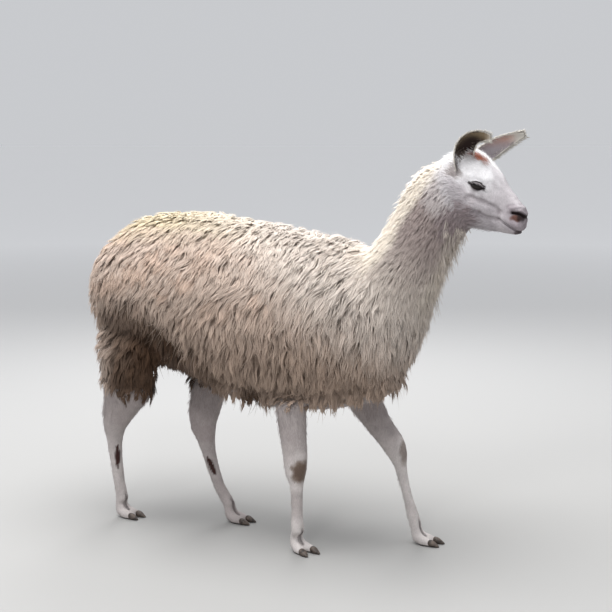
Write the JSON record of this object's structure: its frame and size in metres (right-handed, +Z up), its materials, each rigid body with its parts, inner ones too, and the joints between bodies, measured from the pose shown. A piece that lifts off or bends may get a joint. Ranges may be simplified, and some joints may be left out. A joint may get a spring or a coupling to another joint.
{
  "type": "llama",
  "caption": "Life-size still llama in full fleece, walking with its head up; cream and grey-beige wool, short pale hair on face and lower legs.",
  "frame": {"origin": "on the floor, under the middle of the bounding box", "axes": "+X the way the llama walks, +Y its left side, +Z up"},
  "size_m": [1.7816, 0.5454, 1.4977],
  "materials": {
    "fleece": "matte wool in overlapping locks, cream on the back, brown-grey between the locks, dirty brown at the belly hem",
    "short_hair": "short close hair, white to grey-mauve",
    "nail": "satin horn",
    "eye": "wet gloss"
  },
  "bodies": {
    "root": {"ear_left": "short_hair", "ear_right": "short_hair", "eye_left": "eye", "eye_right": "eye", "foot_fore_left": "short_hair", "foot_fore_right": "short_hair", "foot_hind_left": "short_hair", "foot_hind_right": "short_hair", "head": "short_hair", "leg_fore_left": "short_hair", "leg_fore_right": "short_hair", "leg_hind_left": "short_hair", "leg_hind_right": "short_hair", "nail_fore_left_left": "nail", "nail_fore_left_right": "nail", "nail_fore_right_left": "nail", "nail_fore_right_right": "nail", "nail_hind_left_left": "nail", "nail_hind_left_right": "nail", "nail_hind_right_left": "nail", "nail_hind_right_right": "nail", "neck": "fleece", "tail": "fleece", "trunk": "fleece"}
  },
  "joints": []
}
